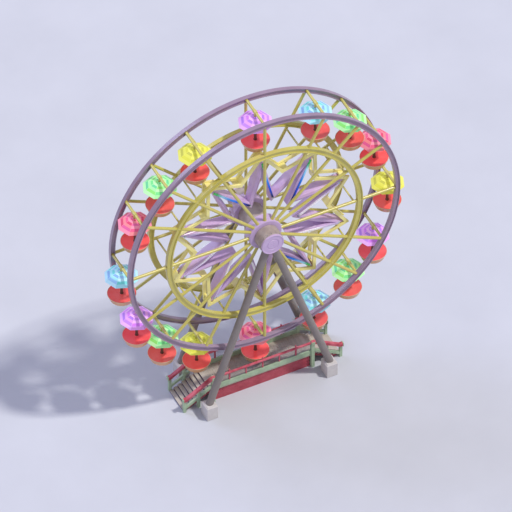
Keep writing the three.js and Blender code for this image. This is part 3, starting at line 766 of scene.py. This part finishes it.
def channel_section(radius, size, depth):
    """The outline of a ring with a flange out and in and a groove in both faces, as (radius, depth) pairs."""
    outer, inner = radius + size.width / 2, radius - size.width / 2
    high, low = outer - size.outer_flange, inner + size.inner_flange
    face = size.depth / 2
    web = face - size.groove
    half = [(outer, face - EASE), (outer - EASE, face), (high + EASE, face), (high, face - EASE), (high, web),
            (low, web), (low, face - EASE), (low - EASE, face), (inner + EASE, face), (inner, face - EASE)]
    return [(r, depth + y) for r, y in half] + [(r, depth - y) for r, y in reversed(half)]


def make_rims():
    angles = sorted(a % (2 * pi) for a in SPOKE_ANGLES)
    halfway = [(a + b) / 2 for a, b in zip(angles, angles[1:] + [angles[0] + 2 * pi])]
    turn, rise = SPLICE_BOLT.turn, SPLICE_BOLT.rise
    for name, side in SIDES.items():
        section = channel_section(WHEEL_RADIUS, RIM, side * SIDE_PLANE)
        ring = Shape().lathe(section, RING_STEPS, about_axle(1)).mesh("rim", smooth=20)
        # Splice bolts halfway along each bay, in the rim's outer groove
        face = side * (SIDE_PLANE + RIM.depth / 2 - RIM.groove)
        rows = [(around(a + beside, WHEEL_RADIUS + above, face), (0, side, 0))
                for a in halfway for beside in (-turn, turn) for above in (-rise, rise)]
        piece(f"rim_{name}", "wheel", [ring, bolts(rows, "rim", SPLICE_BOLT)],
              [f"outer_rim_{name}"])


def inner_crossbar_ends(side):
    """Each side's inner crossbars as (angle, far end); those of the upright spokes stop at the star."""
    star_face = STAR_CENTRE + side * (STAR_PLANE + STAR_THICKNESS / 2)
    upright_spokes = [a for a in SPOKE_ANGLES if abs(cos(a)) < 0.01]
    whole = [] if side > 0 else [(a, SIDE_PLANE) for a in SPOKE_ANGLES if a not in upright_spokes]
    return whole + [(a, star_face) for a in upright_spokes]


def make_frames():
    ring_edges = [INNER_RING.radius + way * INNER_RING.width / 2 for way in (-1, 1)]
    for name, side in SIDES.items():
        depth = side * SIDE_PLANE
        spokes = [[around(a, reach, depth) for reach in (SPOKE.start, SPOKE.tip)] for a in SPOKE_ANGLES]
        section = channel_section(INNER_RING.radius, INNER_RING, depth)
        welds = [(around(a, reach, depth), (cos(a), 0, sin(a)))
                 for a in SPOKE_ANGLES for reach in (*ring_edges, FLANGE.radius)]
        inner = [[around(a, INNER_CROSSBAR.place, end) for end in (depth, far)]
                 for a, far in inner_crossbar_ends(side)]
        meshes = [tubes(spokes, "frame", SPOKE.radius, sides=20),
                  Shape().lathe(section, RING_STEPS, about_axle(1)).mesh("frame", smooth=20),
                  collars(welds, "frame", SPOKE.radius + SPOKE_WELD.stand, SPOKE_WELD.length)]
        if side < 0:
            outer = [[around(a, WHEEL_RADIUS, way * CROSSBAR.end) for way in (-1, 1)] for a in SPOKE_ANGLES]
            meshes.append(tubes(outer, "frame", CROSSBAR.radius, sides=16))
        meshes.append(tubes(inner, "frame", INNER_CROSSBAR.radius, sides=14))
        piece(f"spokes_{name}", "wheel", meshes, [f"side_frame_{name}"])


def make_hub():
    outer, back, edge = FLANGE.radius, FLANGE.back, FLANGE.edge
    profile = [(outer - EASE, back), (outer, back + EASE), (outer, edge),
               (outer - FLANGE.chamfer, edge + FLANGE.chamfer), (FLANGE.face_radius, FLANGE.face),
               (AXLE_HOLE, FLANGE.face), (AXLE_HOLE, back)]
    flanges = Shape()
    for side in SIDES.values():
        flanges.lathe(profile, ROUND_STEPS, about_axle(side))
    radius, half = BARREL.radius, BARREL.half
    section = [(AXLE_HOLE, -half), (radius, -half), (radius, half), (AXLE_HOLE, half)]
    barrel = Shape().lathe(section, BARREL.steps, about_axle(1))
    piece("hub_flanges", "wheel",
          [flanges.mesh("lavender", smooth=30), barrel.mesh("housing", smooth=30)], ["hub"])


def star_vertex(index, inset):
    """A corner of the star's outline, moved in so that the bar has an even width."""
    chord = pi / STAR_POINTS
    edge = hypot(STAR_OUTER - STAR_INNER * cos(chord), STAR_INNER * sin(chord))
    here, other = (STAR_OUTER, STAR_INNER) if index % 2 == 0 else (STAR_INNER, STAR_OUTER)
    return pi / 2 + index * chord, here - inset * edge / (other * sin(chord))


def make_star():
    """The star's solid with eased edges, and rivets along its bent corner plates."""
    rivets = []
    for index in range(2 * STAR_POINTS):
        for side in SIDES.values():
            face = STAR_CENTRE + side * (STAR_PLANE + STAR_THICKNESS / 2)
            near = around(*star_vertex(index, STAR_BAR / 2), face)
            rivets.append((near, (0, side, 0)))
            for turn in (-1, 1):
                beyond = around(*star_vertex(index + turn, STAR_BAR / 2), face)
                rivets.append((near + (beyond - near).normalized() * RIVET.spacing, (0, side, 0)))
    piece("star_bars", "wheel",
          [from_frame("star_frame", "star", bevel=0.008), bolts(rivets, "star", RIVET)], ["star_frame"])


def ray_lines(index, hand):
    """A blade's outward side, inward side and ridge in the wheel's plane, from the star to the hub."""
    outer_angle = pi / 2 + index * 2 * pi / STAR_POINTS
    inner_angle = outer_angle + hand * pi / STAR_POINTS
    tip = star_vertex(0, STAR_BAR)[1]
    start, stop = around(outer_angle, tip, STAR_CENTRE), around(inner_angle, RAY_INNER, STAR_CENTRE)
    middle = start.lerp(stop, 0.5)
    across = (stop - start).normalized().cross(DEPTHWISE) * hand
    swell = across * (RAY_THICKNESS / 2)
    low, high = tip - RAY_DEPTH.outer, RAY_INNER + RAY_DEPTH.inner
    outward = [start, middle + swell, around(inner_angle, high, STAR_CENTRE)]
    inward = [around(outer_angle, low, STAR_CENTRE), middle - swell, stop]
    ridge = [a.lerp(b, 0.5) for a, b in zip(outward, inward)]
    return outward, inward, ridge, across


def lamp_row(start, stop, away):
    """Lamps along one edge of a blade, which face away from the blade."""
    run = stop - start
    normal = run.normalized().cross(DEPTHWISE)
    facing = normal if normal.dot(away) > 0 else -normal
    count = int(run.length / LAMP.pitch)
    kept = range(LAMP.left_out, count - LAMP.left_out)
    return [(start.lerp(stop, (step + 0.5) / count), facing) for step in kept]


def lens_row(start, stop, side):
    """Lenses end to end along a ridge on the front or the rear."""
    run = (stop - start).normalized()
    count = round((stop - start).length / LENS.length)
    facing = Vector((0, side, 0)) - run * (run.y * side)
    return [(start.lerp(stop, (step + 0.5) / count), facing, run) for step in range(count)]


def make_rays():
    """Twenty blades in a zigzag, lamps in rows on their flanks and a light strip along every second one."""
    lamps, lenses = [], {"strip_lit": [], "strip_dim": []}
    for index in range(STAR_POINTS):
        for hand in (-1, 1):
            outward, inward, ridge, across = ray_lines(index, hand)
            for route, away in ((outward, across), (inward, -across)):
                for start, stop in zip(route, route[1:]):
                    lamps += lamp_row(start, stop, away)
            for side in SIDES.values() if hand < 0 else ():
                raised = [point + DEPTHWISE * (side * height) for point, height in zip(ridge, RAY_RIDGE)]
                for start, stop in zip(raised, raised[1:]):
                    lenses["strip_lit" if index in LIT_RAYS else "strip_dim"] += lens_row(start, stop, side)
    blades = from_frame("ray_cluster", "ray", bevel=0.012)
    piece("ray_blades", "wheel", [blades, bolts(lamps, "bolt", LAMP)], ["ray_cluster"])
    size = (LENS.width, LENS.length - LENS.gap, LENS.height)
    strips = [grown(LENSES, facing_points(rows), finish, Lens_Size=size) for finish, rows in lenses.items()]
    piece("ray_light_strips", "wheel", strips)


# Supports


def housing_profile():
    """A drum with a stepped band round its outer end."""
    radius, start, end = HOUSING.radius, HOUSING.start, HOUSING.end
    bore, ease, step, band = HOUSING.bore, HOUSING.ease, HOUSING.step, HOUSING.band
    return [(bore, start), (radius - ease, start), (radius, start + ease),
            (radius, end - band - HOUSING.chamfer), (radius - step, end - band),
            (radius - step, end - step), (radius - 2 * step, end), (bore, end)]


def cap_profile():
    """A raised lip, a flat face and one groove half way in."""
    edge, near, far, ease, lip = CAP.radius, HOUSING.end, CAP.end, CAP.ease, CAP.lip
    groove, half, slope = CAP.groove, CAP.half_groove, CAP.slope
    face = far - CAP.sink
    return [(0, near), (edge, near), (edge, far - ease), (edge - ease, far), (edge - lip, far),
            (edge - lip - ease, face), (groove + half + slope, face), (groove + half, face - CAP.sink),
            (groove - half, face - CAP.sink), (groove - half - slope, face), (0, face)]


def make_housings():
    for name, side in SIDES.items():
        drum = Shape().lathe(housing_profile(), ROUND_STEPS, about_axle(side))
        band, depth = HOUSING.radius - HOUSING.step, side * (HOUSING.end - HOUSING_SCREW.inset)
        screws = [(around(a, band, depth), (cos(a), 0, sin(a))) for a in even_turns(HOUSING.screws)]
        piece(f"housing_{name}", "root",
              [drum.mesh("housing", smooth=30), bolts(screws, "bolt", HOUSING_SCREW)],
              [f"bearing_housing_{name}"])
        cap = Shape().lathe(cap_profile(), ROUND_STEPS, about_axle(side))
        face = side * (CAP.end - CAP.sink)
        studs = [(around(pi * (0.25 + i / 2), CAP_BOLT.circle, face), (0, side, 0)) for i in range(4)]
        piece(f"cap_{name}", "root",
              [cap.mesh("lavender", smooth=25), bolts(studs, "lavender", CAP_BOLT)], [f"hub_cap_{name}"])


def make_legs():
    for depth_name, side in SIDES.items():
        for hand, end in ENDS.items():
            foot = Vector((end * LEG.spread, side * LEG.plane, FOOTING_TOP))
            top = Vector((0, side * LEG.plane, HUB.z))
            way = (top - foot).normalized()
            reach = (top - foot).length - HOUSING.radius + LEG.lap
            tube = tubes([[foot - way * LEG.sunk, foot + way * reach]], "leg", LEG.radius, sides=48)
            places = [reach * share for share in LEG_WELD.shares] + [reach - LEG_WELD.from_top]
            welds = collars([(foot + way * place, way) for place in places], "leg",
                            LEG.radius + LEG_WELD.stand, LEG_WELD.length)
            corner = f"{depth_name}_{hand}"
            piece(f"leg_tube_{corner}", "root", [tube, welds], [f"leg_{corner}"])
            footing = f"footing_{corner}"
            piece(f"footing_block_{corner}", "root",
                  [from_frame(footing, "concrete", bevel=0.02)], [footing])


# Gondolas


def make_tub_meshes():
    """The tub's tan side, its thin cream rim and its flat red pan, for a pivot at the origin."""
    top, floor, bottom = TUB.top, TUB.floor, TUB.bottom
    outer, lower, ease = TUB.top_radius, TUB.bottom_radius, TUB.ease
    inner, lip = outer - TUB.wall, top - TUB.lip
    step, seam, shell, pan = TUB.step, TUB.seam, TUB.shell, TUB.pan
    heel = [(lower - into, bottom + rise) for into, rise in TUB_HEEL]
    outlines = {
        "tub_outside": [(0, bottom), *heel, (outer - step, lip), (outer - shell, lip),
                        (TUB.well, floor - shell), (0, floor - shell)],
        "tub_rim": [(outer - step, lip - seam), (outer, lip + ease), (outer, top - ease),
                    (outer - ease, top), (inner + ease, top), (inner, top - ease), (inner, lip - seam)],
        "tub_inside": [(0, floor), (inner - pan, floor), (inner + seam, top - 2 * ease),
                       (inner + ease, floor - pan), (0, floor - pan)],
    }
    return [Shape().lathe(outline, TUB_STEPS, upright(Vector())).mesh(finish, smooth=40)
            for finish, outline in outlines.items()]


def make_pole_meshes():
    """The brown pole, its yellow neck and the yellow sleeve that turns on the crossbar."""
    foot, neck = UP * TUB.floor, UP * CANOPY.top
    ring = foot + UP * (POLE_FOOT.length / 2)
    return [
        tubes([[foot, neck]], "pole", POLE.radius, sides=24),
        tubes([[neck, UP * POLE.top]], "frame", POLE.radius - POLE.slimmer, sides=24),
        collars([(Vector(), DEPTHWISE)], "frame", SLEEVE.radius, 2 * SLEEVE.half),
        collars([(ring, UP)], "pole", POLE.radius + POLE_FOOT.stand, POLE_FOOT.length),
    ]


def canopy_height(share):
    rise = CANOPY.top - CANOPY.brim
    return CANOPY.brim + rise * (1 - share ** 2)


def make_canopy_mesh(finish):
    """Eight panels in bands, with closed walls; each band of each panel takes its tint by a fixed rule."""
    sides = CANOPY.sides
    rings = [(share * CANOPY.radius, canopy_height(share)) for share in CANOPY_BANDS]
    under = [(radius - CANOPY.draft, height - CANOPY.wall) for radius, height in rings]
    place = upright(Vector())
    loops = [[place(radius, t, height) for t in even_turns(sides)] for radius, height in rings + under]
    shape = Shape()

    def panel_between(first, second, panel, tint):
        after = (panel + 1) % sides
        shape.add([first[panel], first[after], second[after], second[panel]], [(0, 1, 2, 3)], tint)

    bands = len(rings)
    for band in range(bands - 1):
        for panel in range(sides):
            pale, deep = (panel * 3 + band) % 4 // 2, 2 + (panel + band) % 3
            tint = ((deep if band % 2 else pale) + 0.5) / CANOPY_TINTS
            panel_between(loops[band], loops[band + 1], panel, tint)
            panel_between(loops[bands + band], loops[bands + band + 1], panel, UNDERSIDE_TINT)
    for panel in range(sides):
        panel_between(loops[0], loops[bands], panel, BRIM_TINT)
        panel_between(loops[bands - 1], loops[-1], panel, UNDERSIDE_TINT)
    return shape.mesh(finish, weld=1e-5)


def make_beads(finish):
    """A round bead along each ridge and round the brim."""
    brim, radius = CANOPY.radius - CANOPY_BEAD.inset, CANOPY_BEAD.radius
    turns, place = even_turns(CANOPY.sides), upright(Vector())
    routes = [[place(share * brim, t, canopy_height(share)) for share in CANOPY_BANDS] for t in turns]
    routes.append([place(brim, t, CANOPY.brim - radius) for t in turns + turns[:1]])
    return tubes(routes, finish, radius, sides=8)


def moved(mesh, place):
    copy = mesh.copy()
    copy.transform(Matrix.Translation(place))
    return copy


def make_gondolas():
    tub, pole = make_tub_meshes(), make_pole_meshes()
    slots = {part["node"]: part["material_slot"] for part in frame["record"]["subparts"]}
    canopies = {f"canopy_{colour}": [make_canopy_mesh(f"canopy_{colour}"), make_beads(f"canopy_{colour}")]
                for colour in PALETTES}
    for name, place in PIVOTS.items():
        slot = slots[f"{name}_canopy"]
        piece(f"{name}_tub", name, [moved(mesh, place) for mesh in tub], [f"{name}_car"])
        piece(f"{name}_pole", name, [moved(mesh, place) for mesh in pole])
        umbrella = [moved(mesh, place) for mesh in canopies[slot]]
        piece(f"{name}_umbrella", name, umbrella, [f"{name}_canopy"])


# Platform


def make_deck():
    length, width, top, thickness = DECK.length, DECK.width, DECK.top, DECK_BOARD.thickness
    count = int(2 * length / (DECK_BOARD.width + DECK_BOARD.gap))
    pitch = 2 * length / count
    centres = [((i + 0.5) * pitch - length, 0, top - thickness / 2) for i in range(count)]
    size, side = (pitch - DECK_BOARD.gap, 2 * width, thickness), width - DECK_BOARD.overhang
    laid = boards(centres, "deck", size, unevenness=0.0015, seed=3)
    joists = Shape().box((-length, -side, top - DECK.thickness),
                         (length, side, top - thickness - DECK_BOARD.seat))
    piece("deck_boards", "root", [laid, joists.mesh("green", bevel=0.004)], ["platform_deck"])


def make_skirt():
    """Short painted boards laid in staggered courses over the frame behind them."""
    length, width, board = DECK.length, SKIRT.width, SKIRT.board
    top = DECK.top - DECK.thickness
    height = top / SKIRT.courses
    along_sides, along_ends = [], []
    for course in range(SKIRT.courses):
        z = (course + 0.5) * height
        shift = board / 2 if course % 2 else 0.0
        for i in range(int(2 * length / board) + 2):
            x = -length + i * board - shift + board / 2
            if abs(x) < length - board / 2:
                along_sides += [(x, side * (width - SKIRT.centre), z) for side in SIDES.values()]
        for i in range(-1, 2):
            y = i * board + shift
            if abs(y) < width - board / 2:
                along_ends += [(end * (length - SKIRT.centre), y, z) for end in ENDS.values()]
    long, thin, tall = board - SKIRT.joint, SKIRT.thickness, height - SKIRT.joint
    backing = Shape()
    for side in (-1, 1):
        backing.box((-length + SKIRT.centre, side * (width - SKIRT.backing), 0),
                    (length - SKIRT.centre, side * (width - SKIRT.wall), top))
        backing.box((side * (length - SKIRT.backing), -width + SKIRT.backing, 0),
                    (side * (length - SKIRT.wall), width - SKIRT.backing, top))
    meshes = [boards(along_sides, "skirt", (long, thin, tall), unevenness=0.0, seed=5),
              boards(along_ends, "skirt", (thin, long, tall), unevenness=0.0, seed=6),
              backing.mesh("skirt")]
    piece("skirt_boards", "root", meshes, ["platform_skirt"])


def stringer_outline():
    """A stringer from the deck to the ground, as (distance out from the platform's middle, height)."""
    slope = DECK.top / STEPS.count / STEPS.run
    start = DECK.length
    foot = start + (STEPS.count - 1) * STEPS.run + STEPS.depth / 2
    bearing = start + STRINGER.bearing
    height = DECK.top - STEPS.thickness
    low = height - STRINGER.depth
    return [(start, low), (start + low / slope, 0), (foot, 0), (foot, height - slope * (foot - bearing)),
            (bearing, height), (start, height)]


def make_stairs():
    rise = DECK.top / STEPS.count
    half, thickness = STEPS.half_width, STEPS.thickness
    for hand, end in ENDS.items():
        treads, risers, stringers = [], Shape(), Shape()
        for index in range(STEPS.count):
            near, high = DECK.length + index * STEPS.run, DECK.top - index * rise
            treads.append((end * (near + STEPS.depth / 2), 0, high - thickness / 2))
            beyond, side = near + STEPS.run, half - RISER.side
            risers.box((end * (beyond - RISER.far), -side, max(high - rise - thickness, 0)),
                       (end * (beyond - RISER.near), side, high - thickness))
        for y in (-STRINGER.outer, STRINGER.outer - STRINGER.width):
            stringers.prism([(end * x, z) for x, z in stringer_outline()], y, y + STRINGER.width)
        laid = boards(treads, "tread", (STEPS.depth, 2 * half, thickness), unevenness=0.001, seed=11)
        piece(f"treads_{hand}", "root",
              [laid, risers.mesh("riser"), stringers.mesh("skirt", bevel=0.004)], [f"stairs_{hand}"])


def make_railing():
    """Timbers, rails, green caps where the rails end, pickets, and ball tops on the tall balusters."""
    stop = DECK.length - PICKET.margin
    for name, side in SIDES.items():
        y = side * (RAIL.inner + BALUSTER.size / 2)
        caps, balls = Shape(), Shape()
        for end in ENDS.values():
            for first, second in POST_CAPS:
                caps.box(*[(end * x, side * y_cap, z) for x, y_cap, z in (first, second)])
        for index in (-2, 0, 2):
            top = Vector((index * BALUSTER.pitch, y, BALUSTER.tall_top))
            balls.lathe(BALL, BALUSTER.ball_steps, upright(top))
        pickets = grown(PICKETS, lines([(-stop, y, CURB_TOP), (stop, y, CURB_TOP)]), "picket",
                        Pitch=PICKET.pitch, Picket_Size=PICKET.size,
                        Picket_Height=RAIL.bottom - CURB_TOP)
        timbers, rails = f"platform_timbers_{name}", f"handrail_{name}"
        piece(f"timbers_{name}", "root",
              [from_frame(timbers, "green", bevel=0.016), caps.mesh("green", bevel=0.022)], [timbers])
        piece(f"pickets_{name}", "root", [pickets])
        piece(f"rails_{name}", "root",
              [from_frame(rails, "rail", bevel=0.018), balls.mesh("rail", smooth=40)], [rails])


def finish_axle():
    """The axle keeps its CAD shape."""
    axle = frame["nodes"]["axle"].data
    axle.materials.clear()
    axle.materials.append(FINISH["housing"])


# Studio


def make_floor():
    material, tree, place = surface("studio_floor")
    finished(material, {"Base Color": mottled(tree, place, 6.0, ((0.3, "#c3c6cd"), (0.7, "#c9ccd3"))),
                        "Roughness": 0.9})
    mesh = bpy.data.meshes.new("studio_floor")
    corners = [(x * FLOOR.reach, y * FLOOR.reach, -FLOOR.drop)
               for x, y in ((-1, -1), (1, -1), (1, 1), (-1, 1))]
    mesh.from_pydata(corners, [], [(0, 1, 2, 3)])
    mesh.materials.append(material)
    put("studio_floor", mesh)


def make_sun(name, towards, energy, softness, colour):
    """A sun that stands towards a direction; its softness is the angle in degrees that it fills."""
    sun = bpy.data.lights.new(name, "SUN")
    sun.energy = energy
    sun.angle = radians(softness)
    sun.color = colour
    lamp = put(name, sun)
    lamp.rotation_mode = "QUATERNION"
    lamp.rotation_quaternion = Vector(towards).to_track_quat("Z", "Y")


def make_lights():
    """A steep key light from the front right, a blue light from behind on the left, and a soft surround."""
    make_sun("key", (0.36, -0.32, 0.875), energy=2.15, softness=4, colour=(1.0, 0.97, 0.93))
    make_sun("edge", (-0.454, 0.632, 0.627), energy=1.0, softness=30, colour=(0.58, 0.66, 1.0))
    world = bpy.data.worlds.new("soft_studio")
    bpy.context.scene.world = world
    world.use_nodes = True
    feed(world.node_tree, world.node_tree.nodes["Background"],
         {"Color": (0.83, 0.81, 1.0, 1.0), "Strength": 0.56})
    bpy.context.scene.view_settings.view_transform = "Standard"


def make_camera():
    back = Vector((sin(AZIMUTH) * cos(ELEVATION), -cos(AZIMUTH) * cos(ELEVATION), sin(ELEVATION)))
    right = Vector((cos(AZIMUTH), sin(AZIMUTH), 0))
    up = back.cross(right)
    middle = FRAME_PIXELS / 2
    target = (HUB + right * ((middle - HUB_PIXEL[0]) / PIXELS_PER_METRE)
              - up * ((middle - HUB_PIXEL[1]) / PIXELS_PER_METRE))
    data = bpy.data.cameras.new("photo_camera")
    data.sensor_width = SENSOR_MM
    data.lens = PIXELS_PER_METRE * CAMERA_DISTANCE / FRAME_PIXELS * SENSOR_MM
    data.clip_start = 10.0
    data.clip_end = 2000.0
    camera = put("photo_camera", data)
    camera.location = target + back * CAMERA_DISTANCE
    camera.rotation_mode = "QUATERNION"
    camera.rotation_quaternion = back.to_track_quat("Z", "Y")
    bpy.context.scene.camera = camera


make_camera()
make_lights()
make_floor()
make_rims()
make_frames()
make_hub()
make_star()
make_rays()
make_housings()
make_legs()
make_gondolas()
make_deck()
make_skirt()
make_stairs()
make_railing()
finish_axle()
